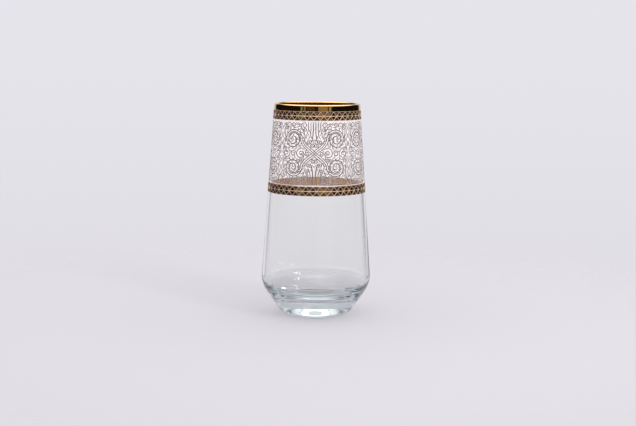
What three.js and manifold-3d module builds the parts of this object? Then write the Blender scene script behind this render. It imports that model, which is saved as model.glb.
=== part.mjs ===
// A long-drink tumbler: clear glass, widest low down, drawn in to a heavy foot, with a gilded lip,
// two gilded lattice bands and a frieze of etched scrollwork between them.
// Millimetres, +Z up. The origin is the centre of the foot, on the surface that the glass stands on.

import * as THREE from "three";
import { mergeVertices } from "three/addons/utils/BufferGeometryUtils.js";
import Module from "manifold-3d";

const wasm = await Module();
wasm.setup();

// The outside of the glass. A corner is where two straight stretches would meet if it weren't rounded.
const GLASS_HEIGHT = 147;
const RIM_RADIUS = 29.5;
const SHOULDER_RADIUS = 38.3;
const SHOULDER_HEIGHT = 21.9;
const SHOULDER_ROUND = 19;
const HEEL_RADIUS = 23;
const HEEL_ROUND = 8.7;
const FOOT_RING_WIDTH = 4;
const FOOT_HOLLOW_DEPTH = 1.2;

// The inside of the glass, which turns in at a shoulder of its own and runs down to the floor
const RIM_WALL = 1.6;
const SHOULDER_WALL = 2.1;
const INNER_SHOULDER_HEIGHT = 21;
const INNER_SHOULDER_ROUND = 10;
const BASE_THICKNESS = 13.9;
const FLOOR_RADIUS = 24;
const FLOOR_ROUND = 18;
const LIP_ROUND = 0.7;

// The gilding and the etching, from the lip down
const RIM_GILT_DROP = 3.9;
const RIM_GILT_INSIDE = 1.4;
const UPPER_BAND_HEIGHT = 6;
const FRIEZE_HEIGHT = 43.4;
const LOWER_BAND_HEIGHT = 6.4;
const GILT_THICKNESS = 0.24;
const SEAT_CLEARANCE = 0.1;
const SEAM_GAP = 0.3;

// The lattice of a gilded band
const UPPER_BAND_CELLS = 42;
const LOWER_BAND_CELLS = 44;
const LATTICE_BAR_WIDTH = 0.5;
const LATTICE_EDGE_WIDTH = 0.5;
const LATTICE_POCKET_DEPTH = 0.12;

// The scrollwork of the frieze
const FRIEZE_REPEATS = 4;
const SCROLL_LINE_WIDTH = 0.7;
const SCROLL_RELIEF = 0.3;
const SCROLL_TURNS = 1.6;
const SCROLL_EYE_RADIUS = 1.6;
const SCROLL_MARGIN = 1.9;
const LEAF_LENGTH = 5.6;
const LEAVES_PER_SCROLL = 2;

// Facets round the glass, along its wide and its tight rounds, and along a full turn of a scroll
const TURN_SEGMENTS = 64;
const WIDE_ROUND_STEPS = 8;
const TIGHT_ROUND_STEPS = 4;
const LIP_STEPS = 2;
const SCROLL_STEPS = 13;

// How much the straight side widens for each millimetre down, outside and inside
const SIDE_TAPER = (SHOULDER_RADIUS - RIM_RADIUS) / (GLASS_HEIGHT - SHOULDER_HEIGHT);
const INNER_SHOULDER_RADIUS = SHOULDER_RADIUS - SHOULDER_WALL;
const INSIDE_WIDENING = INNER_SHOULDER_RADIUS - RIM_RADIUS + RIM_WALL;
const INSIDE_TAPER = INSIDE_WIDENING / (GLASS_HEIGHT - INNER_SHOULDER_HEIGHT);

// Heights of the decoration, each piece a seam below the one above it
const RIM_GILT_BOTTOM = GLASS_HEIGHT - RIM_GILT_DROP;
const UPPER_BAND_BOTTOM = RIM_GILT_BOTTOM - SEAM_GAP - UPPER_BAND_HEIGHT;
const FRIEZE_BOTTOM = UPPER_BAND_BOTTOM - SEAM_GAP - FRIEZE_HEIGHT;
const LOWER_BAND_BOTTOM = FRIEZE_BOTTOM - SEAM_GAP - LOWER_BAND_HEIGHT;

const CLEAR_GLASS = new THREE.MeshStandardMaterial({
  name: "clear_glass",
  color: 0xdfe9ea,
  roughness: 0.03,
  metalness: 0,
  transparent: true,
  opacity: 0.35,
});
const POLISHED_GOLD = new THREE.MeshStandardMaterial({
  name: "polished_gold",
  color: 0xc9a14a,
  roughness: 0.12,
  metalness: 1,
});
const LATTICE_GOLD = new THREE.MeshStandardMaterial({
  name: "lattice_gold",
  color: 0xb98d5c,
  roughness: 0.4,
  metalness: 1,
});
const ETCHED_GLASS = new THREE.MeshStandardMaterial({
  name: "etched_glass",
  color: 0xd9d4da,
  roughness: 0.6,
  metalness: 0,
});

const UP = new THREE.Vector3(0, 0, 1);
const at = (radius, height) => new THREE.Vector2(radius, height);

// Outside radius of the straight side at a height.
function sideRadius(height) {
  return RIM_RADIUS + (GLASS_HEIGHT - height) * SIDE_TAPER;
}

// Inside radius of the straight side at a height.
function insideRadius(height) {
  return RIM_RADIUS - RIM_WALL + (GLASS_HEIGHT - height) * INSIDE_TAPER;
}

// The arc that rounds a profile's corner, touching both of its sides, no larger than the sides allow.
function roundedCorner(before, corner, after, radius, steps) {
  const back = before.clone().sub(corner);
  const on = after.clone().sub(corner);
  const half = Math.acos(back.dot(on) / (back.length() * on.length())) / 2;
  const longest = Math.min(back.length(), on.length()) / 2;
  const tangent = Math.min(radius / Math.tan(half), longest);
  const bulge = tangent * Math.tan(half);
  const start = back.clone().setLength(tangent).add(corner);
  const toCentre = back.normalize().add(on.clone().normalize());
  const centre = toCentre.setLength(bulge / Math.sin(half)).add(corner);
  const sweep = Math.sign(corner.clone().sub(before).cross(on)) * (Math.PI - 2 * half);
  return Array.from({ length: steps + 1 }, (_, i) =>
    start.clone().rotateAround(centre, (sweep * i) / steps),
  );
}

// A solid turned about the Z axis from a profile of radii and heights.
function turned(profile, segments = TURN_SEGMENTS) {
  return new THREE.LatheGeometry(profile, segments).rotateX(Math.PI / 2);
}

// A manifold solid from a closed geometry, and a geometry from a manifold solid.
function solidFrom(geometry) {
  const bare = new THREE.BufferGeometry().setIndex(geometry.index);
  const merged = mergeVertices(bare.setAttribute("position", geometry.getAttribute("position")));
  const mesh = new wasm.Mesh({
    numProp: 3,
    vertProperties: merged.getAttribute("position").array,
    triVerts: new Uint32Array(merged.index.array),
  });
  return new wasm.Manifold(mesh);
}

function geometryFrom(solid) {
  const mesh = solid.getMesh();
  return new THREE.BufferGeometry()
    .setAttribute("position", new THREE.BufferAttribute(mesh.vertProperties, 3))
    .setIndex(new THREE.BufferAttribute(mesh.triVerts, 1));
}

// The glass itself: foot, slope, shoulder, side and lip outside, then side, shoulder and floor inside.
function glassBody() {
  const heel = at(HEEL_RADIUS, 0);
  const shoulder = at(SHOULDER_RADIUS, SHOULDER_HEIGHT);
  const lipOutside = at(RIM_RADIUS, GLASS_HEIGHT);
  const lipInside = at(RIM_RADIUS - RIM_WALL, GLASS_HEIGHT);
  const innerShoulder = at(INNER_SHOULDER_RADIUS, INNER_SHOULDER_HEIGHT);
  const floorCorner = at(FLOOR_RADIUS, BASE_THICKNESS);
  const floorCentre = at(0, BASE_THICKNESS);
  const heelRound = roundedCorner(at(0, 0), heel, shoulder, HEEL_ROUND, TIGHT_ROUND_STEPS);
  return turned([
    at(0, FOOT_HOLLOW_DEPTH),
    ...footHollow(heelRound[0].x - FOOT_RING_WIDTH),
    ...heelRound,
    ...roundedCorner(heel, shoulder, lipOutside, SHOULDER_ROUND, WIDE_ROUND_STEPS),
    ...roundedCorner(shoulder, lipOutside, lipInside, LIP_ROUND, LIP_STEPS),
    ...roundedCorner(lipOutside, lipInside, innerShoulder, LIP_ROUND, LIP_STEPS),
    ...roundedCorner(lipInside, innerShoulder, floorCorner, INNER_SHOULDER_ROUND, WIDE_ROUND_STEPS),
    ...roundedCorner(innerShoulder, floorCorner, floorCentre, FLOOR_ROUND, TIGHT_ROUND_STEPS),
    floorCentre,
  ]);
}

// The shallow hollow under the foot, a parabola from its middle out to the ring that bears on the table.
function footHollow(outerRadius) {
  const steps = 3;
  return Array.from({ length: steps }, (_, i) => {
    const share = (i + 1) / steps;
    return at(outerRadius * share, FOOT_HOLLOW_DEPTH * (1 - share * share));
  });
}

// The polished gilding: a film over the lip, down its outside and a little way down its inside.
function rimGilding() {
  const skin = (off) => {
    const outside = at(sideRadius(RIM_GILT_BOTTOM) + off, RIM_GILT_BOTTOM);
    const lipOutside = at(RIM_RADIUS + off, GLASS_HEIGHT + off);
    const lipInside = at(RIM_RADIUS - RIM_WALL - off, GLASS_HEIGHT + off);
    const inside = at(insideRadius(GLASS_HEIGHT - RIM_GILT_INSIDE) - off, GLASS_HEIGHT - RIM_GILT_INSIDE);
    return [
      outside,
      ...roundedCorner(outside, lipOutside, lipInside, LIP_ROUND + off, LIP_STEPS),
      ...roundedCorner(lipOutside, lipInside, inside, LIP_ROUND + off, LIP_STEPS),
      inside,
    ];
  };
  const outer = skin(SEAT_CLEARANCE + GILT_THICKNESS);
  const inner = skin(SEAT_CLEARANCE).reverse();
  return turned([...outer, ...inner, outer[0]]);
}

// A triangle drawn in from its sides by a distance, about the centre of its inscribed circle.
function insetTriangle(corners, distance) {
  const [a, b, c] = corners;
  const sides = [b.distanceTo(c), c.distanceTo(a), a.distanceTo(b)];
  const around = sides[0] + sides[1] + sides[2];
  const centre = at(0, 0);
  corners.forEach((corner, i) => centre.addScaledVector(corner, sides[i] / around));
  const inradius = Math.abs(b.clone().sub(a).cross(c.clone().sub(a))) / around;
  return corners.map((corner) => corner.clone().lerp(centre, distance / inradius));
}

// The pockets of one lattice cell: a lozenge as wide as the cell, halved by a level bar.
function latticePockets(width, height) {
  const left = at(0, height / 2);
  const right = at(width, height / 2);
  const above = at(width / 2, height - LATTICE_EDGE_WIDTH);
  const below = at(width / 2, LATTICE_EDGE_WIDTH);
  return [
    insetTriangle([left, right, above], LATTICE_BAR_WIDTH / 2),
    insetTriangle([left, below, right], LATTICE_BAR_WIDTH / 2),
  ];
}

// The lattice's pockets as solids: prisms that reach from the pocket's floor to clear of the band's face.
function pocketCutters(bottom, height, cells) {
  const cellAngle = (2 * Math.PI) / cells;
  const cellWidth = 2 * Math.tan(cellAngle / 2) * sideRadius(bottom + height / 2);
  const face = SEAT_CLEARANCE + GILT_THICKNESS;
  const positions = [];
  const triangle = (...corners) => corners.forEach((corner) => positions.push(...corner.toArray()));

  for (let cell = 0; cell < cells; cell += 1) {
    const place = (point, off) => {
      const level = bottom + point.y;
      const spot = new THREE.Vector3(cornerRadius(level, off, cells), 0, level);
      const near = spot.clone().applyAxisAngle(UP, cell * cellAngle - Math.PI / 2);
      const far = spot.applyAxisAngle(UP, (cell + 1) * cellAngle - Math.PI / 2);
      return near.lerp(far, point.x / cellWidth);
    };
    latticePockets(cellWidth, height).forEach((pocket) => {
      const floor = pocket.map((point) => place(point, face - LATTICE_POCKET_DEPTH));
      const roof = pocket.map((point) => place(point, face + LATTICE_POCKET_DEPTH));
      triangle(floor[0], floor[2], floor[1]);
      triangle(...roof);
      floor.forEach((corner, i) => {
        const next = (i + 1) % floor.length;
        triangle(corner, floor[next], roof[next]);
        triangle(corner, roof[next], roof[i]);
      });
    });
  }
  return new THREE.BufferGeometry().setAttribute("position", new THREE.Float32BufferAttribute(positions, 3));
}

// Radius at the corners of a ring of flats whose middles are off the side of the glass by a distance.
function cornerRadius(level, off, flats) {
  return (sideRadius(level) + off) / Math.cos(Math.PI / flats);
}

// A gilded band: a thin ring of flat cells round the side, with the lattice's pockets cut into its face.
function latticeBand(bottom, height, cells) {
  const top = bottom + height;
  const face = SEAT_CLEARANCE + GILT_THICKNESS;
  const section = [
    at(cornerRadius(bottom, SEAT_CLEARANCE, cells), bottom),
    at(cornerRadius(bottom, face, cells), bottom),
    at(cornerRadius(top, face, cells), top),
    at(cornerRadius(top, SEAT_CLEARANCE, cells), top),
  ];
  const ring = turned([...section, section[0]], cells);
  return geometryFrom(solidFrom(ring).subtract(solidFrom(pocketCutters(bottom, height, cells))));
}

const FRIEZE_MEAN_RADIUS = sideRadius(FRIEZE_BOTTOM + FRIEZE_HEIGHT / 2);
const QUARTER_WIDTH = (Math.PI * FRIEZE_MEAN_RADIUS) / FRIEZE_REPEATS;
const QUARTER_HEIGHT = FRIEZE_HEIGHT / 2;
const SCROLL_RADIUS = Math.min(QUARTER_WIDTH, QUARTER_HEIGHT) / 2 - SCROLL_MARGIN;
const SCROLL_CENTRE = at(QUARTER_WIDTH / 2, QUARTER_HEIGHT / 2);

// Points along a curve in the frieze's flat pattern.
function along(steps, curve) {
  return Array.from({ length: steps + 1 }, (_, i) => curve(i / steps));
}

// Radius of a scroll's spiral after a number of turns, and how near its centre the facets of that turn come.
function spiralRadius(turns) {
  return SCROLL_RADIUS + ((SCROLL_EYE_RADIUS - SCROLL_RADIUS) * turns) / SCROLL_TURNS;
}

function facetRadius(turns) {
  return spiralRadius(turns) * Math.cos(Math.PI / SCROLL_STEPS);
}

// A point of a quarter pattern, at a distance and an angle from the centre of its scroll.
function fromScroll(radius, angle) {
  return at(SCROLL_CENTRE.x + radius * Math.cos(angle), SCROLL_CENTRE.y + radius * Math.sin(angle));
}

// One scroll of a quarter pattern: a stem from the frieze's edge, down beside the axis and into a spiral.
function scrollPath() {
  const start = fromScroll(SCROLL_RADIUS, -Math.PI);
  const edge = at(SCROLL_LINE_WIDTH * 2, QUARTER_HEIGHT - SCROLL_LINE_WIDTH / 2);
  const stem = new THREE.CubicBezierCurve(
    edge,
    edge.clone().sub(at(0, SCROLL_MARGIN)),
    start.clone().add(at(0, SCROLL_RADIUS / 2)),
    start,
  );
  const spiral = along(Math.round(SCROLL_TURNS * SCROLL_STEPS), (share) => {
    const turns = share * SCROLL_TURNS;
    return fromScroll(spiralRadius(turns), (2 * turns - 1) * Math.PI);
  });
  return [...stem.getPoints(4).slice(0, -1), ...spiral];
}

// The curled leaves that grow from the outside of a scroll, away from the axis.
function leafPaths() {
  return Array.from({ length: LEAVES_PER_SCROLL }, (_, i) => {
    const turns = 0.25 + (i + 0.5) / (2 * LEAVES_PER_SCROLL);
    return along(2, (share) => {
      const curl = (share * share * LEAF_LENGTH) / (2 * SCROLL_RADIUS);
      const radius = facetRadius(turns) + LEAF_LENGTH * share * (1 - share / 2);
      return fromScroll(radius, (2 * turns - 1) * Math.PI + curl);
    });
  });
}

// Half of the cross in the middle of a repeat: it joins a scroll to the one that is diagonally opposite.
function crossPath() {
  const turns = SCROLL_CENTRE.angle() / (2 * Math.PI);
  const tip = SCROLL_CENTRE.clone().setLength(SCROLL_CENTRE.length() - facetRadius(turns));
  return along(2, (share) => tip.clone().multiplyScalar(2 * share - 1));
}

// One side of the slender leaf that stands between two repeats, from edge to edge of the frieze.
function ogeePath() {
  return along(8, (share) => {
    const bow = SCROLL_MARGIN * Math.sin(share * Math.PI * 2) ** 2;
    return at(QUARTER_WIDTH - SCROLL_LINE_WIDTH - bow, (FRIEZE_HEIGHT - SCROLL_LINE_WIDTH) * (share - 0.5));
  });
}

// A raised line of lozenge section that follows a flat path wrapped onto the side, and may end in a point.
// It stands off the glass by the clearance and by the sag of its longest step.
function wrappedRidge({ path, pointed }, turn) {
  const longestStep = Math.max(...path.slice(1).map((spot, i) => spot.distanceTo(path[i])));
  const off = SEAT_CLEARANCE + SCROLL_RELIEF / 2 + longestStep ** 2 / (8 * FRIEZE_MEAN_RADIUS);
  const spots = path.map((flat) => {
    const height = FRIEZE_BOTTOM + QUARTER_HEIGHT + flat.y;
    const spot = new THREE.Vector3(sideRadius(height) + off, 0, height);
    return spot.applyAxisAngle(UP, turn + flat.x / FRIEZE_MEAN_RADIUS);
  });
  const positions = [];
  spots.forEach((spot, i) => {
    const ahead = spots[Math.min(i + 1, spots.length - 1)];
    const behind = spots[Math.max(i - 1, 0)];
    const share = pointed ? 1 - i / (spots.length - 1) : 1;
    const out = new THREE.Vector3(spot.x, spot.y, 0).normalize();
    const across = out.clone().cross(ahead.clone().sub(behind)).setLength((share * SCROLL_LINE_WIDTH) / 2);
    out.multiplyScalar((share * SCROLL_RELIEF) / 2);
    [across, out, across.clone().negate(), out.clone().negate()].forEach((arm) =>
      positions.push(...spot.clone().add(arm).toArray()),
    );
  });
  const last = 4 * (spots.length - 1);
  const triangles = [0, 2, 1, 0, 3, 2, last, last + 1, last + 2, last, last + 2, last + 3];
  for (let ring = 0; ring < last; ring += 4) {
    for (let side = 0; side < 4; side += 1) {
      const a = ring + side;
      const b = ring + ((side + 1) % 4);
      triangles.push(a, b, b + 4, a, b + 4, a + 4);
    }
  }
  return new THREE.BufferGeometry()
    .setAttribute("position", new THREE.Float32BufferAttribute(positions, 3))
    .setIndex(triangles);
}

// A plain raised line right round the glass at one edge of the frieze.
function edgeLine(bottom) {
  const corner = (off, level) => at(sideRadius(level) + SEAT_CLEARANCE + off, level);
  const top = bottom + SCROLL_LINE_WIDTH;
  const seat = [corner(0, top), corner(0, bottom)];
  const face = [corner(SCROLL_RELIEF, bottom), corner(SCROLL_RELIEF, top)];
  return turned([...seat, ...face, seat[0]]);
}

// The etched frieze: every repeat's scrolls, leaves and cross, joined to the lines along both edges.
function etchedFrieze() {
  const plain = (path) => ({ path, pointed: false });
  const leaf = (path) => ({ path, pointed: true });
  const reflect = (path, across, up) => path.map((spot) => at(spot.x * across, spot.y * up));
  const mirrored = (line, across, up) => ({ ...line, path: reflect(line.path, across, up) });
  const quarter = [plain(scrollPath()), ...leafPaths().map(leaf)];
  const half = [plain(crossPath()), plain(ogeePath())];
  const upper = [...quarter, ...half];
  const right = [...upper, ...quarter.map((line) => mirrored(line, 1, -1))];
  const motif = [...right, ...right.map((line) => mirrored(line, -1, 1))];
  const lines = [edgeLine(FRIEZE_BOTTOM), edgeLine(FRIEZE_BOTTOM + FRIEZE_HEIGHT - SCROLL_LINE_WIDTH)];
  for (let repeat = 0; repeat < FRIEZE_REPEATS; repeat += 1) {
    const turn = (repeat * 2 * Math.PI) / FRIEZE_REPEATS - Math.PI / 2;
    motif.forEach((line) => lines.push(wrappedRidge(line, turn)));
  }
  return geometryFrom(lines.map(solidFrom).reduce((whole, line) => whole.add(line)));
}

const tumbler = new THREE.Group();

function addPiece(name, geometry, material) {
  const mesh = new THREE.Mesh(geometry, material);
  mesh.name = name;
  tumbler.add(mesh);
}

const upperBand = latticeBand(UPPER_BAND_BOTTOM, UPPER_BAND_HEIGHT, UPPER_BAND_CELLS);
const lowerBand = latticeBand(LOWER_BAND_BOTTOM, LOWER_BAND_HEIGHT, LOWER_BAND_CELLS);

addPiece("glass_body", glassBody(), CLEAR_GLASS);
addPiece("rim_gilding", rimGilding(), POLISHED_GOLD);
addPiece("upper_gold_band", upperBand, LATTICE_GOLD);
addPiece("etched_frieze", etchedFrieze(), ETCHED_GLASS);
addPiece("lower_gold_band", lowerBand, LATTICE_GOLD);

export default tumbler;
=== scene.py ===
"""Dresses a gilded long-drink tumbler: clear glass, a polished lip, lattice bands and etched scrollwork.

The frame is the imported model's: +Z up, the origin at the centre of the foot. The pieces' sizes are written
in millimetres, and MM turns them into metres where a mesh is made. Finishes and studio are in metres.
"""

from __future__ import annotations

import logging
import math
from dataclasses import dataclass, field
from enum import Enum

import bpy
import numpy as np
from mathutils import Matrix, Vector

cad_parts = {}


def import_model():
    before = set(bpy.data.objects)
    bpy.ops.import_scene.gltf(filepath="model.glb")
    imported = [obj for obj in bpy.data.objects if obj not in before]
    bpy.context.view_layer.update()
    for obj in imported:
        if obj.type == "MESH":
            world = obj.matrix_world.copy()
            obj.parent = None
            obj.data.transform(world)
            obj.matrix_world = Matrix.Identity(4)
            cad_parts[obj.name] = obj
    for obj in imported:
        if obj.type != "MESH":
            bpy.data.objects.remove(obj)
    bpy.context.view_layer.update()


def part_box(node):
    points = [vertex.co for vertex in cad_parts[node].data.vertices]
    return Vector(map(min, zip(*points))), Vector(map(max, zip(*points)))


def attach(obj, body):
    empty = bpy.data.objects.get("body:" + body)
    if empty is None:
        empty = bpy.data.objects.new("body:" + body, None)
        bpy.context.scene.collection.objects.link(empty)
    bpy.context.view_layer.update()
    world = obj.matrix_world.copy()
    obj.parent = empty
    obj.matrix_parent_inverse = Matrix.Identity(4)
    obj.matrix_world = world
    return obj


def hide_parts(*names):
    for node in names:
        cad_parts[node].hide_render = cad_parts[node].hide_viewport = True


# A flat point is across and up. A span is two ends, such as where a smooth step starts and where it ends.
Colour = tuple[float, float, float]
Place = tuple[float, float, float]
Flat = tuple[float, float]
Span = tuple[float, float]
Points = np.ndarray
Inputs = dict[object, object]

LOG = logging.getLogger("tumbler")
MM = 0.001
BODY = "root"
TURN = 2 * math.pi
TINY = 1e-9
BLACK: Colour = (0.0, 0.0, 0.0)
WINDOW: Colour = (20.0, 20.0, 20.0)

# The Mix node's sockets for colours, by number, because those for other types have the same names
MIX_SHARE, MIX_FIRST, MIX_SECOND, MIX_RESULT = 0, 6, 7, 2


class Slot(Enum):
    """The material slots."""

    GLASS = "clear_glass"
    LIP = "polished_gold"
    BAND = "lattice_gold"
    ETCHED = "etched_glass"


# Shader arithmetic


class Graph:
    """A short way to write a node tree: its methods add nodes and give back what the next step needs."""

    def __init__(self, tree: bpy.types.NodeTree) -> None:
        """Keeps the tree that nodes are added to."""
        self.tree = tree

    def put(self, socket: bpy.types.NodeSocket, value: object) -> None:
        """Links a socket to another, or sets its value.

        Args:
            socket: The input that gets the value.
            value: An output socket, a number, a colour or a vector.
        """
        if isinstance(value, bpy.types.NodeSocket):
            self.tree.links.new(value, socket)
        elif isinstance(value, tuple) and socket.type == "RGBA" and len(value) == 3:
            socket.default_value = (*value, 1.0)
        else:
            socket.default_value = value

    def node(self, kind: str, inputs: Inputs | None = None, **settings: object) -> bpy.types.Node:
        """Adds a node.

        Args:
            kind: The node's type name, without its ShaderNode prefix.
            inputs: Values or sockets by input name or number.
            settings: The node's own properties.

        Returns:
            The new node.
        """
        made = self.tree.nodes.new("ShaderNode" + kind)
        for name, value in settings.items():
            setattr(made, name, value)
        for key, value in (inputs or {}).items():
            self.put(made.inputs[key], value)
        return made

    def math(self, operation: str, *values: object) -> bpy.types.NodeSocket:
        """Gives the result of one arithmetic step on numbers or sockets."""
        return self.node("Math", dict(enumerate(values)), operation=operation).outputs[0]

    def ramp(
        self, value: object, low: object, high: object, to_low: object = 0.0, to_high: object = 1.0
    ) -> bpy.types.NodeSocket:
        """Gives a smooth step that goes from to_low to to_high as value goes from low to high."""
        inputs = {"Value": value, "From Min": low, "From Max": high, "To Min": to_low, "To Max": to_high}
        return self.node("MapRange", inputs, interpolation_type="SMOOTHSTEP").outputs["Result"]

    def band(self, value: object, low: float, high: float, soft: float) -> bpy.types.NodeSocket:
        """Gives a mask that is 1 where a value lies between two limits.

        Args:
            value: The socket that is tested.
            low: The lower limit.
            high: The upper limit.
            soft: The width over which the mask fades at each limit.

        Returns:
            The mask.
        """
        rise = self.ramp(value, low - soft / 2, low + soft / 2)
        fall = self.ramp(value, high - soft / 2, high + soft / 2, 1.0, 0.0)
        return self.math("MULTIPLY", rise, fall)

    def blend(self, share: object, first: object, second: object) -> bpy.types.NodeSocket:
        """Gives a colour mixed from first to second by share."""
        inputs = {MIX_SHARE: share, MIX_FIRST: first, MIX_SECOND: second}
        return self.node("Mix", inputs, data_type="RGBA").outputs[MIX_RESULT]

    def bump(self, height: object, distance: float, strength: float = 1.0) -> bpy.types.NodeSocket:
        """Gives a normal that follows a height, where a height of 1 stands for distance metres."""
        inputs = {"Strength": strength, "Distance": distance, "Height": height}
        return self.node("Bump", inputs).outputs[0]


@dataclass(frozen=True)
class FineWear:
    """The fine wear that the finishes share: a mask of rubbed patches and a height of tiny unevenness."""

    name: str = "fine_wear"
    patch_detail: float = 4.0
    patch_roughness: float = 0.6
    grain_finer: float = 6.0
    grain_detail: float = 3.0
    middle: float = 0.5

    def group(self) -> bpy.types.NodeTree:
        """Builds the node group, unless an earlier finish has built it.

        Both outputs come from noise on Object coordinates, so they stay on the surface.

        Returns:
            The group, with the inputs Scale and Spread and the outputs Rubbed and Height.
        """
        found = bpy.data.node_groups.get(self.name)
        if found:
            return found
        group = bpy.data.node_groups.new(self.name, "ShaderNodeTree")
        for name in ("Scale", "Spread"):
            group.interface.new_socket(name, in_out="INPUT", socket_type="NodeSocketFloat")
        for name in ("Rubbed", "Height"):
            group.interface.new_socket(name, in_out="OUTPUT", socket_type="NodeSocketFloat")
        graph = Graph(group)
        given = group.nodes.new("NodeGroupInput").outputs
        result = group.nodes.new("NodeGroupOutput").inputs
        place = graph.node("TexCoord").outputs["Object"]
        patches = graph.node("TexNoise", {"Vector": place, "Scale": given["Scale"]})
        graph.put(patches.inputs["Detail"], self.patch_detail)
        graph.put(patches.inputs["Roughness"], self.patch_roughness)
        finer = graph.math("MULTIPLY", given["Scale"], self.grain_finer)
        grain = graph.node("TexNoise", {"Vector": place, "Scale": finer, "Detail": self.grain_detail})
        centred = graph.math("SUBTRACT", patches.outputs["Fac"], self.middle)
        spread = graph.math("MULTIPLY_ADD", centred, given["Spread"], self.middle)
        graph.put(result["Rubbed"], graph.node("Clamp", {"Value": spread}).outputs[0])
        graph.put(result["Height"], grain.outputs["Fac"])
        return group

    def on(self, graph: Graph, scale: float, spread: float) -> bpy.types.NodeOutputs:
        """Places the group in a material.

        Args:
            graph: The material's graph.
            scale: Patches per metre.
            spread: Contrast of the patches.

        Returns:
            The group node's outputs.
        """
        inputs = {"Scale": scale, "Spread": spread}
        return graph.node("Group", inputs, node_tree=self.group()).outputs


def new_material(name: str) -> tuple[bpy.types.Material, Graph, bpy.types.Node]:
    """Makes a material with a bare Principled shader.

    Args:
        name: The material's name.

    Returns:
        The material, its graph and its Principled node.
    """
    material = bpy.data.materials.new(name)
    material.use_nodes = True
    return material, Graph(material.node_tree), material.node_tree.nodes["Principled BSDF"]


# Finishes


@dataclass(frozen=True)
class ClearGlass:
    """Soda-lime glass, fire-polished, with the faint waviness of a blown wall."""

    name: str = "clear_glass"
    ior: float = 1.52
    tint: Colour = (0.985, 0.99, 0.992)
    # Painted shade towards the silhouettes: its colour, blend and rise
    silhouette_shade: Colour = (0.34, 0.37, 0.40)
    edge_blend: float = 0.5
    edge_rise: Span = (0.74, 0.96)
    depth_tint: Colour = (0.62, 0.88, 0.94)
    depth_density: float = 6.0
    wave_scale: float = 55.0
    wave_stretch: Place = (1.0, 1.0, 3.0)
    wave_detail: float = 1.0
    wave_depth: float = 0.00001
    base_top: float = 0.026
    base_wave: float = 6.0

    def material(self) -> bpy.types.Material:
        """Builds the material: clear, with painted shade at its edges, tinted in its depth, and wavier in the
        heavy base.

        Returns:
            The material.
        """
        material, graph, shader = new_material(self.name)
        # Painted shade: the colour darkens towards the silhouettes, standing in for dark surroundings seen
        # there
        facing = graph.node("LayerWeight", {"Blend": self.edge_blend}).outputs["Facing"]
        edge = graph.ramp(facing, *self.edge_rise)
        graph.put(shader.inputs["Base Color"], graph.blend(edge, self.tint, self.silhouette_shade))
        graph.put(shader.inputs["Roughness"], 0.0)
        graph.put(shader.inputs["IOR"], self.ior)
        graph.put(shader.inputs["Transmission Weight"], 1.0)
        place = graph.node("TexCoord").outputs["Object"]
        stretched = graph.node("Mapping", {"Vector": place, "Scale": self.wave_stretch}).outputs[0]
        inputs = {"Vector": stretched, "Scale": self.wave_scale, "Detail": self.wave_detail}
        wave = graph.node("TexNoise", inputs).outputs["Fac"]
        level = graph.node("SeparateXYZ", {0: place}).outputs["Z"]
        swell = graph.ramp(level, self.base_top / 2, self.base_top, self.base_wave, 1.0)
        graph.put(shader.inputs["Normal"], graph.bump(graph.math("MULTIPLY", wave, swell), self.wave_depth))
        depth = graph.node("VolumeAbsorption", {"Color": self.depth_tint, "Density": self.depth_density})
        output = material.node_tree.nodes["Material Output"]
        graph.put(output.inputs["Volume"], depth.outputs[0])
        return material


@dataclass(frozen=True)
class PolishedGold:
    """Bright burnished gilding with slight rubbing."""

    name: str = "polished_gold"
    colour: Colour = (0.84, 0.54, 0.20)
    rubbed_colour: Colour = (0.78, 0.48, 0.18)
    roughness: Span = (0.05, 0.12)
    wear_scale: float = 160.0
    wear_spread: float = 2.0
    dent: float = 0.000004
    dent_strength: float = 0.3

    def material(self) -> bpy.types.Material:
        """Builds the material, which is rougher and browner where it is rubbed.

        Returns:
            The material.
        """
        material, graph, shader = new_material(self.name)
        wear = FineWear().on(graph, self.wear_scale, self.wear_spread)
        graph.put(shader.inputs["Metallic"], 1.0)
        graph.put(shader.inputs["Base Color"], graph.blend(wear["Rubbed"], self.colour, self.rubbed_colour))
        graph.put(shader.inputs["Roughness"], graph.ramp(wear["Rubbed"], 0.0, 1.0, *self.roughness))
        graph.put(shader.inputs["Normal"], graph.bump(wear["Height"], self.dent, self.dent_strength))
        return material


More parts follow.
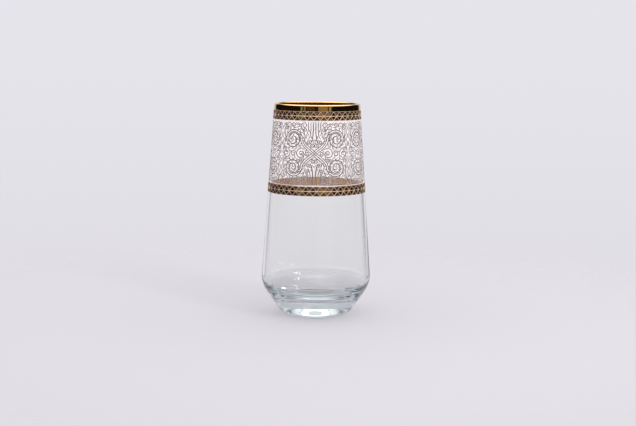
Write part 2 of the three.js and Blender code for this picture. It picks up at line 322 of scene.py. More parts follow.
@dataclass(frozen=True)
class LatticeGold:
    """A gilded band: a bright ground in the pockets, matt panels in painted dark reflection over it, and bars
    in painted highlight that outline them.
    """

    name: str = "lattice_gold"
    ground: Colour = (0.74, 0.48, 0.20)
    # Painted light: near-black panels as a painted dark reflection, darker where rubbed, and cream bars as a
    # painted highlight
    panel: Colour = (0.13, 0.055, 0.035)
    panel_shade_rubbed: Colour = (0.025, 0.013, 0.01)
    bar: Colour = (1.0, 0.71, 0.52)
    raised_rise: Span = (0.2, 0.5)
    bar_highlight_rise: Span = (0.78, 0.94)
    roughness: Span = (0.1, 0.45)
    metallic: Span = (1.0, 0.2)
    sheen: float = 0.2
    wear_scale: float = 900.0
    wear_spread: float = 2.4
    grain: float = 0.00003
    grain_strength: float = 0.5

    def material(self) -> bpy.types.Material:
        """Builds the material, which reads the mesh's relief: 0 on the ground, 0.7 on panels, 1 on bars.

        Returns:
            The material. Its roughness and metallic go from the ground's to the raised parts'.
        """
        material, graph, shader = new_material(self.name)
        wear = FineWear().on(graph, self.wear_scale, self.wear_spread)
        relief = graph.node("Attribute", attribute_name="relief").outputs["Fac"]
        raised = graph.ramp(relief, *self.raised_rise)
        # Painted light: the panels' near-black brown is a painted dark reflection, the bars' cream a painted
        # highlight; rubbed patches are wear
        panel = graph.blend(wear["Rubbed"], self.panel, self.panel_shade_rubbed)
        matt = graph.blend(graph.ramp(relief, *self.bar_highlight_rise), panel, self.bar)
        graph.put(shader.inputs["Base Color"], graph.blend(raised, self.ground, matt))
        graph.put(shader.inputs["Roughness"], graph.ramp(raised, 0.0, 1.0, *self.roughness))
        graph.put(shader.inputs["Metallic"], graph.ramp(raised, 0.0, 1.0, *self.metallic))
        graph.put(shader.inputs["Specular IOR Level"], self.sheen)
        grain = graph.math("MULTIPLY", wear["Height"], raised)
        graph.put(shader.inputs["Normal"], graph.bump(grain, self.grain, self.grain_strength))
        return material


@dataclass(frozen=True)
class GiltBack:
    """The back of a gilded film, as seen through the glass: matt, browner than the face."""

    name: str = "gilt_back"
    colour: Colour = (0.76, 0.31, 0.07)
    pale: Colour = (1.0, 0.51, 0.14)
    metallic: float = 0.6
    roughness: float = 0.38
    wear_scale: float = 240.0
    wear_spread: float = 2.2

    def material(self) -> bpy.types.Material:
        """Builds the material, which is paler in patches.

        Returns:
            The material.
        """
        material, graph, shader = new_material(self.name)
        wear = FineWear().on(graph, self.wear_scale, self.wear_spread)
        graph.put(shader.inputs["Metallic"], self.metallic)
        graph.put(shader.inputs["Roughness"], self.roughness)
        graph.put(shader.inputs["Base Color"], graph.blend(wear["Rubbed"], self.colour, self.pale))
        return material


@dataclass(frozen=True)
class EtchedLine:
    """Acid-etched glass: a line darkened with painted shade where it is deepest, between frosted flanks.

    From inside the glass the line is a pale haze, with a glow for the light that comes through it.
    """

    name: str = "etched_glass"
    # Painted shade: the near-black of the line's middle, and a paler one where rubbed
    groove_shade: Colour = (0.03, 0.02, 0.022)
    groove_shade_pale: Colour = (0.11, 0.08, 0.085)
    frost: Colour = (0.98, 0.875, 0.87)
    groove_shade_rise: Span = (0.66, 0.9)
    cover_rise: Span = (0.0, 0.2)
    roughness: float = 0.6
    from_inside: float = 0.6
    lit_from_behind: float = 1.0
    wear_scale: float = 300.0
    wear_spread: float = 2.6
    grain: float = 0.00003
    grain_strength: float = 0.4

    def material(self) -> bpy.types.Material:
        """Builds the material, which reads the mesh's etched attribute: 1 along the line, 0 at its feet.

        Returns:
            The material.
        """
        material, graph, shader = new_material(self.name)
        wear = FineWear().on(graph, self.wear_scale, self.wear_spread)
        depth = graph.node("Attribute", attribute_name="etched").outputs["Fac"]
        inside = graph.node("NewGeometry").outputs["Backfacing"]
        outside = graph.ramp(inside, 0.0, 1.0, 1.0, 0.0)
        # Painted shade: from outside, the middle of the line is near-black
        painted_groove_shade = graph.math("MULTIPLY", graph.ramp(depth, *self.groove_shade_rise), outside)
        line = graph.blend(wear["Rubbed"], self.groove_shade, self.groove_shade_pale)
        graph.put(shader.inputs["Base Color"], graph.blend(painted_groove_shade, self.frost, line))
        graph.put(shader.inputs["Roughness"], self.roughness)
        haze = graph.ramp(inside, 0.0, 1.0, 1.0, self.from_inside)
        cover = graph.math("MULTIPLY", graph.ramp(depth, *self.cover_rise), haze)
        graph.put(shader.inputs["Alpha"], cover)
        graph.put(shader.inputs["Emission Color"], graph.blend(inside, BLACK, self.frost))
        graph.put(shader.inputs["Emission Strength"], self.lit_from_behind)
        graph.put(shader.inputs["Normal"], graph.bump(wear["Height"], self.grain, self.grain_strength))
        return material


# Meshes from arrays


def grid_faces(rows: int, columns: int, first: int = 0, rows_close: bool = False) -> Points:
    """Numbers the quads of a grid of points whose columns close on themselves.

    Args:
        rows: Rows of points.
        columns: Points in a row.
        first: The number of the grid's first point.
        rows_close: True where the last row joins the first.

    Returns:
        An array of quads, four point numbers each.
    """
    row = np.arange(rows if rows_close else rows - 1)[:, None]
    column = np.arange(columns)[None, :]
    here, next_row = row * columns, (row + 1) % rows * columns
    beside = (column + 1) % columns
    corners = [here + column, here + beside, next_row + beside, next_row + column]
    return first + np.stack(corners, axis=-1).reshape(-1, 4)


def fan_faces(centre: int, first: int, columns: int) -> Points:
    """Numbers the triangles between a point and a ring of points round it.

    Args:
        centre: The number of the point in the middle.
        first: The number of the ring's first point.
        columns: Points in the ring.

    Returns:
        An array of triangles that go round as the ring does.
    """
    column = np.arange(columns)
    beside = (column + 1) % columns
    return np.stack([np.full(columns, centre), first + column, first + beside], axis=1)


def about_axis(radius: Points, angle: Points, level: Points) -> Points:
    """Places points about the Z axis: x = r sin a, y = -r cos a, z = h, so that the angle 0 faces -Y."""
    return np.stack(np.broadcast_arrays(radius * np.sin(angle), -radius * np.cos(angle), level), axis=-1)


def spun(profile: Points, columns: int) -> Points:
    """Turns a profile about the Z axis: each of its points gives a ring.

    Args:
        profile: Radii and heights, one row per point.
        columns: Points round each ring.

    Returns:
        An array of points, profile rows by columns by three.
    """
    angle = np.arange(columns) * TURN / columns
    return about_axis(profile[:, :1], angle, profile[:, 1:])


def mesh_object(
    name: str, points: Points, faces: list[Points], sharp_degrees: float = 40.0
) -> bpy.types.Object:
    """Makes a smooth-shaded object at the origin from points and faces, and reports it.

    Args:
        name: The piece's name.
        points: Points in metres, three numbers each.
        faces: Arrays of quads or triangles.
        sharp_degrees: Edges that bend more than this stay sharp.

    Returns:
        The linked object.
    """
    mesh = bpy.data.meshes.new(name)
    mesh.from_pydata(points.reshape(-1, 3).tolist(), [], [face for part in faces for face in part.tolist()])
    mesh.polygons.foreach_set("use_smooth", np.ones(len(mesh.polygons), bool))
    mesh.set_sharp_from_angle(angle=math.radians(sharp_degrees))
    mesh.update()
    made = bpy.data.objects.new(name, mesh)
    bpy.context.scene.collection.objects.link(made)
    LOG.info("%s: %d points, %d faces", name, len(mesh.vertices), len(mesh.polygons))
    return made


def set_attribute(piece: bpy.types.Object, name: str, values: Points) -> None:
    """Gives a piece's mesh a number at each point, for its material to read."""
    attribute = piece.data.attributes.new(name, "FLOAT", "POINT")
    attribute.data.foreach_set("value", values.ravel().astype(np.float32))


def seat_piece(piece: bpy.types.Object, node: str) -> None:
    """Makes a piece ride on the body and stand for a CAD node, whose part it hides.

    Args:
        piece: The piece.
        node: The CAD node that it replaces.
    """
    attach(piece, BODY)
    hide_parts(node)


def arc_corner(before: Points, corner: Points, after: Points, radius: float, steps: int) -> Points:
    """Rounds a corner of a profile.

    The arc touches both sides at radius / tan(half the corner's angle) from the corner, and is limited to
    half of the shorter side.

    Args:
        before: The point before the corner.
        corner: The corner.
        after: The point after the corner.
        radius: The arc's radius.
        steps: Steps along the arc.

    Returns:
        The arc's points.
    """
    back, on = before - corner, after - corner
    lengths = np.linalg.norm(back), np.linalg.norm(on)
    back, on = back / lengths[0], on / lengths[1]
    half = math.acos(float(np.clip(back @ on, -1, 1))) / 2
    touch = min(radius / math.tan(half), min(lengths) / 2)
    bulge = touch * math.tan(half)
    middle = (back + on) / np.linalg.norm(back + on)
    centre = corner + middle * bulge / math.sin(half)
    ends = [corner + side * touch - centre for side in (back, on)]
    start, finish = (math.atan2(end[1], end[0]) for end in ends)
    sweep = (finish - start + math.pi) % TURN - math.pi
    angle = start + sweep * np.linspace(0, 1, steps + 1)
    return centre + bulge * np.stack([np.cos(angle), np.sin(angle)], axis=1)


def refine(profile: Points, longest: float) -> Points:
    """Adds points along a profile so that no step is longer than a length.

    Args:
        profile: Radii and heights.
        longest: The longest step.

    Returns:
        The profile with its long steps divided evenly.
    """
    steps = np.linalg.norm(np.diff(profile, axis=0), axis=1)
    counts = np.maximum(1, np.ceil(steps / longest)).astype(int)
    starts = np.concatenate([[0], np.cumsum(counts)])
    wanted = np.arange(starts[-1] + 1)
    return np.stack([np.interp(wanted, starts, profile[:, axis]) for axis in (0, 1)], axis=1)


# The tumbler


@dataclass
class TumblerGlass:
    """The clear glass body, turned from one profile. Sizes are in millimetres."""

    height: float = 147.0
    rim_radius: float = 29.5
    rim_wall: float = 1.6
    lip_round: float = 0.7
    shoulder_radius: float = 38.29
    shoulder_height: float = 21.9
    shoulder_round: float = 19.0
    heel_radius: float = 23.0
    heel_round: float = 8.7
    foot_ring: float = 4.0
    foot_hollow: float = 1.2
    inner_radius: float = 36.2
    inner_height: float = 21.0
    inner_round: float = 10.0
    floor_radius: float = 24.0
    floor_height: float = 13.9
    floor_round: float = 18.0
    columns: int = 256
    hollow_points: int = 16
    heel_steps: int = 20
    shoulder_steps: int = 32
    lip_steps: int = 8
    floor_steps: int = 24
    longest_step: float = 3.0
    sharp_degrees: float = 60.0

    @property
    def taper(self) -> float:
        """Gives how much the outside widens for each millimetre down the straight side."""
        return (self.shoulder_radius - self.rim_radius) / (self.height - self.shoulder_height)

    @property
    def inside_taper(self) -> float:
        """Gives how much the inside widens for each millimetre down the straight side."""
        return (self.inner_radius - self.rim_radius + self.rim_wall) / (self.height - self.inner_height)

    def outside(self, level: Points | float) -> Points | float:
        """Gives the outside radius of the straight side at a height, in millimetres."""
        return self.rim_radius + (self.height - level) * self.taper

    def profile(self) -> Points:
        """Works out the outline: hollow, foot, shoulder and lip outside, then side and floor inside.

        The hollow is the parabola h = depth (1 - (r / R)^2); straight stretches join rounded corners.

        Returns:
            Radii and heights from the axis under the foot to the axis on the floor inside.
        """
        heel = np.array([self.heel_radius, 0.0])
        shoulder = np.array([self.shoulder_radius, self.shoulder_height])
        lip_out = np.array([self.rim_radius, self.height])
        lip_in = np.array([self.rim_radius - self.rim_wall, self.height])
        inner = np.array([self.inner_radius, self.inner_height])
        corner = np.array([self.floor_radius, self.floor_height])
        floor = np.array([0.0, self.floor_height])
        heel_arc = arc_corner(np.zeros(2), heel, shoulder, self.heel_round, self.heel_steps)
        share = np.linspace(0, 1, self.hollow_points)
        reach = heel_arc[0, 0] - self.foot_ring
        hollow = np.stack([reach * share, self.foot_hollow * (1 - share**2)], axis=1)
        parts = [
            hollow,
            heel_arc,
            arc_corner(heel, shoulder, lip_out, self.shoulder_round, self.shoulder_steps),
            arc_corner(shoulder, lip_out, lip_in, self.lip_round, self.lip_steps),
            arc_corner(lip_out, lip_in, inner, self.lip_round, self.lip_steps),
            arc_corner(lip_in, inner, corner, self.inner_round, self.shoulder_steps),
            arc_corner(inner, corner, floor, self.floor_round, self.floor_steps),
            floor[None, :],
        ]
        return refine(np.concatenate(parts), self.longest_step)

    def build(self) -> None:
        """Builds the glass as rings between a pole under the foot and one on the floor, and dresses it."""
        profile = self.profile() * MM
        rings = spun(profile[1:-1], self.columns)
        poles = np.array([[0, 0, profile[0, 1]], [0, 0, profile[-1, 1]]])
        count = rings.shape[0] * self.columns
        under = fan_faces(count, 0, self.columns)[:, [0, 2, 1]]
        floor = fan_faces(count + 1, count - self.columns, self.columns)
        points = np.concatenate([rings.reshape(-1, 3), poles])
        faces = [grid_faces(rings.shape[0], self.columns), under, floor]
        glass = mesh_object("tumbler_glass", points, faces, self.sharp_degrees)
        glass.data.materials.append(ClearGlass().material())
        seat_piece(glass, "glass_body")


@dataclass
class GildedLip:
    """The polished film over the lip, fired onto the glass, so its seat lies just under the glass's skin."""

    glass: TumblerGlass
    drop: float = 3.9
    inside_drop: float = 1.4
    skin: float = 0.3
    seat: float = -0.02
    columns: int = 256
    longest_step: float = 0.5
    # Painted shade: this near-black brown darkens the lip's inner face and its seat, standing in for the
    # shade inside the mouth
    back: GiltBack = GiltBack("lip_inside_shade", (0.07, 0.02, 0.004), (0.13, 0.045, 0.01), metallic=0.9)

    def skin_line(self, off: float) -> Points:
        """Works out the film's line: up the outside, over the lip and down the inside.

        Args:
            off: The line's distance off the glass.

        Returns:
            Radii and heights.
        """
        glass = self.glass
        bottom = glass.height - self.drop
        inside = glass.height - self.inside_drop
        inner = glass.rim_radius - glass.rim_wall
        outside_end = np.array([glass.outside(bottom) + off, bottom])
        lip_out = np.array([glass.rim_radius + off, glass.height + off])
        lip_in = np.array([inner - off, glass.height + off])
        inside_end = np.array([inner + self.inside_drop * glass.inside_taper - off, inside])
        over = [
            outside_end[None, :],
            arc_corner(outside_end, lip_out, lip_in, glass.lip_round + off, glass.lip_steps),
            arc_corner(lip_out, lip_in, inside_end, glass.lip_round + off, glass.lip_steps),
            inside_end[None, :],
        ]
        return refine(np.concatenate(over), self.longest_step)

    def build(self) -> None:
        """Builds the film as a ring of closed section: its face, then its seat the other way.

        The seat and the rows of the face that are inside the glass take the darker back's finish: gilt seen
        from behind, darkened to near-black as painted shade.
        """
        section = np.concatenate([self.skin_line(self.skin), self.skin_line(self.seat)[::-1]])
        rings = spun(section * MM, self.columns)
        faces = [grid_faces(len(section), self.columns, rows_close=True)]
        lip = mesh_object("gilded_lip", rings, faces)
        lip.data.materials.append(PolishedGold().material())
        lip.data.materials.append(self.back.material())
        face_rows = len(section) // 2
        radius, level = section[:face_rows].T
        within = radius < self.glass.rim_radius - self.glass.rim_wall
        below = level < self.glass.height - self.skin
        gold_rows = face_rows - np.count_nonzero(within & below)
        row = np.arange(len(lip.data.polygons)) // self.columns
        lip.data.polygons.foreach_set("material_index", (row >= gold_rows).astype(np.int32))
        seat_piece(lip, "rim_gilding")


@dataclass
class LatticeBand:
    """A gilded band round the side, with raised bars over a bright ground. Sizes are in millimetres."""

    glass: TumblerGlass
    node: str
    piece: str
    cells: int
    bar: float = 0.30
    level_bar: float = 0.32
    edge: float = 0.12
    dot: float = 0.5
    dot_inset: float = 0.66
    panel: float = 0.7
    soft: float = 0.07
    ground: float = 0.14
    face: float = 0.30
    seat: float = -0.02
    steps_round: int = 36
    steps_up: int = 42
    sharp_degrees: float = 50.0

    def rise(self, inset: Points) -> Points:
        """Works out a smooth step from 0 outside a shape to 1 inside, from the distance inside its edge."""
        share = np.clip(0.5 + inset / self.soft, 0, 1)
        return share**2 * (3 - 2 * share)

    def relief(self, x: Points, y: Points, width: float, height: float) -> Points:
        """Works out how high the band's face stands: 0 on the ground, panel on the panels and 1 on the bars.

        A lozenge of pale bars with the corners (0, h/2), (w/2, top), (w, h/2) and (w/2, bottom) is halved
        by a level bar, and the ground shows in its halves. Panels fill the corners outside it, with a round
        dot of ground where two cells meet.

        Args:
            x: Distances across a cell.
            y: Heights above the band's bottom.
            width: A cell's width.
            height: The band's height.

        Returns:
            The relief at each point.
        """
        across, up = np.broadcast_arrays(np.abs(x - width / 2), np.abs(y - height / 2))
        half_width, half_height = width / 2, height / 2 - self.edge
        outside = (across / half_width + up / half_height - 1) / math.hypot(1 / half_width, 1 / half_height)
        slant = self.rise(self.bar / 2 - np.abs(outside))
        level = self.rise(np.minimum(self.level_bar / 2 - up, -outside))
        border = self.rise(up - half_height)
        eye = np.hypot(across - half_width, up - half_height + self.dot_inset)
        panel = self.panel * self.rise(np.minimum(outside, eye - self.dot))
        return np.maximum.reduce([slant, level, border, panel])

    def build(self, gold: bpy.types.Material, back: bpy.types.Material) -> None:
        """Builds the band as a ring of closed section whose face follows the lattice's relief.

        Args:
            gold: The face's material.
            back: The seat's material.
        """
        low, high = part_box(self.node)
        bottom, top = low.z / MM, high.z / MM
        columns = self.cells * self.steps_round
        width = TURN * self.glass.outside((bottom + top) / 2) / self.cells
        level = np.linspace(bottom, top, self.steps_up)
        x = (np.arange(columns) % self.steps_round) * width / self.steps_round
        relief = self.relief(x[None, :], (level - bottom)[:, None], width, top - bottom)
        off = self.ground + (self.face - self.ground) * relief
        face = self.glass.outside(level)[:, None] + off
        seat = self.glass.outside(np.array([bottom, top])) + self.seat
        first, last = (np.full((1, columns), radius) for radius in seat)
        radius = np.concatenate([first, face, last])
        level = np.concatenate([[bottom], level, [top]])
        rows = len(level)
        points = about_axis(radius, np.arange(columns) * TURN / columns, level[:, None]) * MM
        faces = [grid_faces(rows, columns, rows_close=True)]
        band = mesh_object(self.piece, points, faces, self.sharp_degrees)
        set_attribute(band, "relief", np.pad(relief, ((1, 1), (0, 0))))
        band.data.materials.append(gold)
        band.data.materials.append(back)
        row = np.arange(len(band.data.polygons)) // columns
        band.data.polygons.foreach_set("material_index", (row == rows - 1).astype(np.int32))
        seat_piece(band, self.node)


# The etched frieze


@dataclass
class Stroke:
    """One etched line of the flat pattern: points in millimetres and the dark line's full width."""

    points: Points
    width: float

    def mirrored(self) -> Stroke:
        """Gives the stroke reflected about the pattern's upright axis."""
        return Stroke(self.points * np.array([-1, 1]), self.width)

    def beside(self, distance: float, share: float, width: float) -> Stroke:
        """Gives a stroke that runs beside this one, to its left, along the first part of it."""
        count = round(len(self.points) * share)
        return Stroke((self.points + left_of(self.points) * distance)[:count], width)


@dataclass(frozen=True)
class Scroll:
    """A scroll of the flat pattern: the volute's middle, its outer radius and turns, and 1 up or -1 down."""

    eye: Flat
    reach: float
    turns: float
    up: int


def left_of(points: Points) -> Points:
    """Works out the unit vectors that point to the left of a flat line.

    Args:
        points: The line's points.

    Returns:
        A vector at each of the points.
    """
    step = np.gradient(points, axis=0)
    step /= np.maximum(np.linalg.norm(step, axis=1, keepdims=True), TINY)
    return np.stack([-step[:, 1], step[:, 0]], axis=1)


def spiral(centre: Points, outer: float, inner: float, start: float, turns: float, steps: int = 28) -> Points:
    """Works out a spiral whose radius shrinks evenly with its angle.

    Args:
        centre: The eye.
        outer: The radius at the start.
        inner: The radius at the end.
        start: The angle at the start, in turns.
        turns: Turns, counter-clockwise if positive.
        steps: Points in a turn.

    Returns:
        The spiral's points, closer together near the eye.
    """
    share = np.linspace(0, 1, int(abs(turns) * steps))
    radius = outer + (inner - outer) * share
    angle = TURN * (start + turns * share)
    return np.stack([centre[0] + radius * np.cos(angle), centre[1] + radius * np.sin(angle)], axis=1)


def curve(*handles: Flat, steps: int = 13) -> Points:
    """Works out a cubic Bezier curve: the sum of C(3, k) (1 - t)^(3 - k) t^k P_k.

    Args:
        handles: Its four handles, P_0 to P_3.
        steps: Steps along it.

    Returns:
        The curve's points.
    """
    share = np.linspace(0, 1, steps + 1)[:, None]
    weights = [(1 - share) ** 3, 3 * (1 - share) ** 2 * share, 3 * (1 - share) * share**2, share**3]
    return sum(weight * np.array(handle) for weight, handle in zip(weights, handles))


def leaf(foot: Points, way: Points, length: float, curl: float, count: int = 7) -> Points:
    """Works out a curled leaf as a single stroke.

    At the share t of its length it is at foot + t length (way cos(curl t) + left of way sin(curl t)).

    Args:
        foot: Where the leaf grows from.
        way: The way it sets out.
        length: From foot to tip.
        curl: How far it has turned to the left at its tip, in radians.
        count: Points along it.

    Returns:
        Points from foot to tip.
    """
    share = np.linspace(0, 1, count)[:, None]
    way = way / np.linalg.norm(way)
    left = np.array([-way[1], way[0]])
    return foot + share * length * (way * np.cos(curl * share) + left * np.sin(curl * share))


def evenly(line: Points, step: float) -> Points:
    """Works out points a step apart along a flat line.

    Args:
        line: The line's points.
        step: The distance from one new point to the next.

    Returns:
        The new points.
    """
    along = np.concatenate([[0], np.cumsum(np.linalg.norm(np.diff(line, axis=0), axis=1))])
    at = np.arange(0, along[-1] + step, step)
    return np.stack([np.interp(at, along, line[:, 0]), np.interp(at, along, line[:, 1])], axis=1)


@dataclass
class GapFinder:
    """The room left between the strokes of half a repeat, on a grid of points. Sizes are in millimetres."""

    edge: float
    tall: float
    cell: float = 0.4
    over_edge: float = 0.7
    over_top: float = 0.4
    below: float = 0.1
    batch: int = 64
    grid: Points = field(init=False)
    room: Points = field(init=False)
    nearest: Points = field(init=False)

    def __post_init__(self) -> None:
        """Starts with an empty half repeat, where only its borders limit the room.

        Until a stroke takes up room near a grid point, the point just below stands for the nearest stroke.
        """
        sides = np.arange(0.0, self.edge, self.cell), np.arange(-self.tall, self.tall, self.cell)
        self.grid = np.stack(np.meshgrid(*sides, indexing="ij"), axis=-1).reshape(-1, 2)
        across, up = self.grid.T
        aside = np.minimum(across, self.edge - across) + self.over_edge
        self.room = np.minimum(aside, self.tall - np.abs(up) + self.over_top)
        self.nearest = self.grid - [0.0, self.below]

    def take(self, line: Points) -> None:
        """Takes up the room along a line: each grid point's room is its distance to the nearest stroke.

        Args:
            line: The line's points, a cell apart.
        """
        for part in np.array_split(line, max(1, len(line) // self.batch)):
            apart = np.linalg.norm(self.grid[:, None] - part, axis=2)
            closest = apart.min(axis=1)
            nearer = closest < self.room
            self.room[nearer] = closest[nearer]
            self.nearest[nearer] = part[apart.argmin(axis=1)[nearer]]

    def widest(self) -> tuple[Points, float, Points]:
        """Finds the widest gap.

        Returns:
            Its middle, its radius, and the unit vector away from the nearest stroke.
        """
        best = int(self.room.argmax())
        away = self.grid[best] - self.nearest[best]
        return self.grid[best], float(self.room[best]), away / np.linalg.norm(away)


@dataclass
class ScrollFrieze:
    """The etched frieze: scrolls, leaves and stems in repeats round the side. Sizes are in millimetres.

    The flat pattern has x across from the repeat's axis and y up from the frieze's middle.
    """

    glass: TumblerGlass
    node: str = "etched_frieze"
    repeats: int = 4
    turned_degrees: float = -3.0
    margin: float = 0.55
    relief: float = 0.11
    seat: float = -0.03
    sharp_degrees: float = 70.0

    # The lines: their dark widths, the frosted flank beside them, and the tips' share of the width
    flank: float = 0.2
    bold: float = 0.52
    plain: float = 0.4
    fine: float = 0.32
    tip: float = 0.5
    border_width: float = 0.42
    border_columns: int = 256

    # The scrolls: ribbons that set out from the middle, with a shorter line on each side and leaves
    scrolls: tuple[Scroll, ...] = (Scroll((15.2, 9.6), 6.9, 2.75, 1), Scroll((14.7, -9.2), 6.6, 2.5, -1))
    stem_pull: float = 3.0
    neck_aside: float = 0.4
    neck_drop: float = 0.62
    volute_start: float = 0.5
    volute_end: float = 0.9
    ribbon_gap: float = 1.35
    ribbon_shares: Span = (0.3, 0.17)
    leafed_points: tuple[int, int, int] = (12, 46, 2)
    leaf_lengths: Span = (2.9, 1.9)
    leaf_curl: float = 1.1

    # The stems that flare from the borders, as handles after the one on the border, and the spray
    stem_handles: tuple[tuple[Flat, Flat, Flat], ...] = (
        ((0.85, 15.0), (0.7, 10.0), (2.7, 6.4)),
        ((2.6, 16.0), (2.0, 12.4), (4.3, 9.4)),
        ((4.3, 18.0), (3.7, 15.0), (5.9, 12.6)),
    )
    spray_handles: tuple[Flat, Flat, Flat, Flat] = ((6.0, 9.4), (6.6, 14.0), (9.0, 18.4), (13.6, 20.7))

    # The loops between repeats, as middle and half height, their bow and the vine inside them
    loops: tuple[Span, ...] = ((-11.0, 9.4), (10.6, 9.8))
    loop_points: int = 19
    loop_inset: float = 0.5
    loop_bow: float = 2.5
    loop_fullness: float = 0.8
    vine_inset: float = 0.9
    vine_sway: float = 0.7
    vine_waves: int = 3
    vine_share: float = 0.8

    # What fills the gaps: curls in wide ones, blades in narrow ones, in shares of the gap's radius
    least_gap: float = 1.0
    curl_gap: float = 1.5
    curl_outer: float = 0.84
    curl_inner: float = 0.22
    curl_turns: float = 1.4
    curl_steps: int = 20
    blade_foot: float = 0.75
    blade_length: float = 1.5
    blade_curl: float = 1.2
    turned_every: int = 3
    mirrored_points: int = 20

    bottom: float = field(init=False)
    top: float = field(init=False)
    mean_radius: float = field(init=False)
    edge: float = field(init=False)
    tall: float = field(init=False)

    def __post_init__(self) -> None:
        """Takes the frieze's levels from its CAD node, and half a repeat's size from them."""
        low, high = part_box(self.node)
        self.bottom, self.top = low.z / MM, high.z / MM
        self.mean_radius = float(self.glass.outside((self.bottom + self.top) / 2))
        self.edge = math.pi * self.mean_radius / self.repeats
        self.tall = (self.top - self.bottom) / 2 - self.margin

    def scroll_strokes(self, scroll: Scroll) -> list[Stroke]:
        """Draws a scroll: a ribbon from the repeat's middle that winds into a volute, with leaves outside.

        Args:
            scroll: The scroll's place, size and turns.

        Returns:
            The strokes.
        """
        eye, reach, up = scroll.eye, scroll.reach, scroll.up
        start = (eye[0] - reach, eye[1])
        neck = (start[0] - self.neck_aside, eye[1] - self.neck_drop * reach * up)
        stem = curve((0.0, 0.0), (self.stem_pull, self.stem_pull * up), neck, start)
        volute = spiral(np.array(eye), reach, self.volute_end, self.volute_start, -scroll.turns * up)
        ribbon = Stroke(np.concatenate([stem[:-1], volute]), self.bold)
        strokes = [ribbon]
        for gap, share in zip((-self.ribbon_gap, self.ribbon_gap), self.ribbon_shares):
            strokes.append(ribbon.beside(gap * up, share, self.plain))
        side = left_of(ribbon.points) * up
        for number, point in enumerate(range(*self.leafed_points)):
            length = self.leaf_lengths[number % 2]
            line = leaf(ribbon.points[point], side[point], length, self.leaf_curl * up)
            strokes.append(Stroke(line, self.fine))
        return strokes

    def stem_strokes(self, up: int) -> list[Stroke]:
        """Draws the upright stems that flare from the middle of one border, and the spray beside them.

        Args:
            up: 1 for the upper border, -1 for the lower one.

        Returns:
            The strokes.
        """
        flip = np.array([1, up])
        strokes = []
        for handles, width in zip(self.stem_handles, (self.bold, self.plain, self.plain)):
            foot = (handles[0][0], self.tall)
            strokes.append(Stroke(curve(foot, *handles) * flip, width))
        strokes.append(Stroke(curve(*self.spray_handles) * flip, self.plain))
        return strokes

    def parting_strokes(self) -> list[Stroke]:
        """Draws one half of the tall loops that part two repeats, and a wavy vine inside them.

        The loop's bow is inset + bow sin(pi t)^fullness, the vine's inset + sway sin(2 pi waves t).

        Returns:
            The strokes.
        """
        share = np.linspace(0, 1, self.loop_points)
        strokes = []
        for middle, high in self.loops:
            level = middle + high * (2 * share - 1)
            bow = self.loop_inset + self.loop_bow * np.sin(np.pi * share) ** self.loop_fullness
            vine = self.vine_inset + self.vine_sway * np.sin(self.vine_waves * TURN * share)
            vine_level = middle + (level - middle) * self.vine_share
            strokes.append(Stroke(np.stack([self.edge - bow, level], axis=1), self.plain))
            strokes.append(Stroke(np.stack([self.edge - vine, vine_level], axis=1), self.fine))
        return strokes

    def fill_strokes(self, strokes: list[Stroke]) -> list[Stroke]:
        """Draws a curl or a blade in each gap, from the widest gap to the least that is filled.

        Args:
            strokes: The strokes of half a repeat, which leave the gaps.

        Returns:
            The strokes that fill them.
        """
        gaps = GapFinder(self.edge, self.tall)
        for stroke in strokes:
            gaps.take(evenly(stroke.points, gaps.cell))
            gaps.take(evenly(stroke.mirrored().points[: self.mirrored_points], gaps.cell))
        made: list[Stroke] = []
        middle, reach, away = gaps.widest()
        while reach > self.least_gap:
            turn = 1 if len(made) % self.turned_every else -1
            if reach > self.curl_gap:
                start = math.atan2(-away[1], -away[0]) / TURN
                outer, inner = self.curl_outer * reach, self.curl_inner * reach
                line = spiral(middle, outer, inner, start, self.curl_turns * turn, self.curl_steps)
                made.append(Stroke(line, self.plain))
            else:
                foot = middle - self.blade_foot * reach * away
                line = leaf(foot, away, self.blade_length * reach, self.blade_curl * turn)
                made.append(Stroke(line, self.fine))
            gaps.take(evenly(line, gaps.cell))
            middle, reach, away = gaps.widest()
        return made

    def strokes(self) -> list[Stroke]:
        """Gathers one repeat's strokes: half of them drawn, the other half mirrored.

        Returns:
            The strokes.
        """
        half = [stroke for scroll in self.scrolls for stroke in self.scroll_strokes(scroll)]
        half += self.stem_strokes(1) + self.stem_strokes(-1) + self.parting_strokes()
        half += self.fill_strokes(half)
        return half + [stroke.mirrored() for stroke in half]

    def ridge(self, stroke: Stroke, turn: float) -> Points:
        """Wraps a stroke onto the side as a low ridge.

        The flat point (x, y) goes to the angle x / mean radius and the height middle + y. The section across
        the line is a trapezium: its feet lie under the glass's skin, a flank's width out from the dark line.
        At the share t of its length the dark line's width is times tip + (1 - tip) sin(pi t)^0.5.

        Args:
            stroke: The flat line.
            turn: The angle of the repeat's axis from -Y.

        Returns:
            Points along the line by four across it, in metres.
        """
        flat = stroke.points
        share = np.linspace(0, 1, len(flat))
        swell = self.tip + (1 - self.tip) * np.sin(np.pi * share) ** 0.5
        half = stroke.width / 2 * swell[:, None]
        across = np.concatenate([half + self.flank, half, -half, -half - self.flank], axis=1)
        spread = flat[:, None, :] + left_of(flat)[:, None, :] * across[..., None]
        level = (self.bottom + self.top) / 2 + spread[..., 1]
        angle = turn + spread[..., 0] / self.mean_radius
        radius = self.glass.outside(level) + np.array([self.seat, self.relief, self.relief, self.seat])
        return about_axis(radius, angle, level) * MM

    def border(self, level: float) -> Points:
        """Works out a plain line right round the glass, as a ring of closed section.

        Args:
            level: The height of its middle.

        Returns:
            Four rings of points, in metres.
        """
        half, quarter = self.border_width / 2, self.border_width / 4
        levels = level + np.array([-half, -quarter, quarter, half])
        off = np.array([self.seat, self.relief, self.relief, self.seat])
        section = np.stack([self.glass.outside(levels) + off, levels], axis=1)
        return spun(section * MM, self.border_columns)

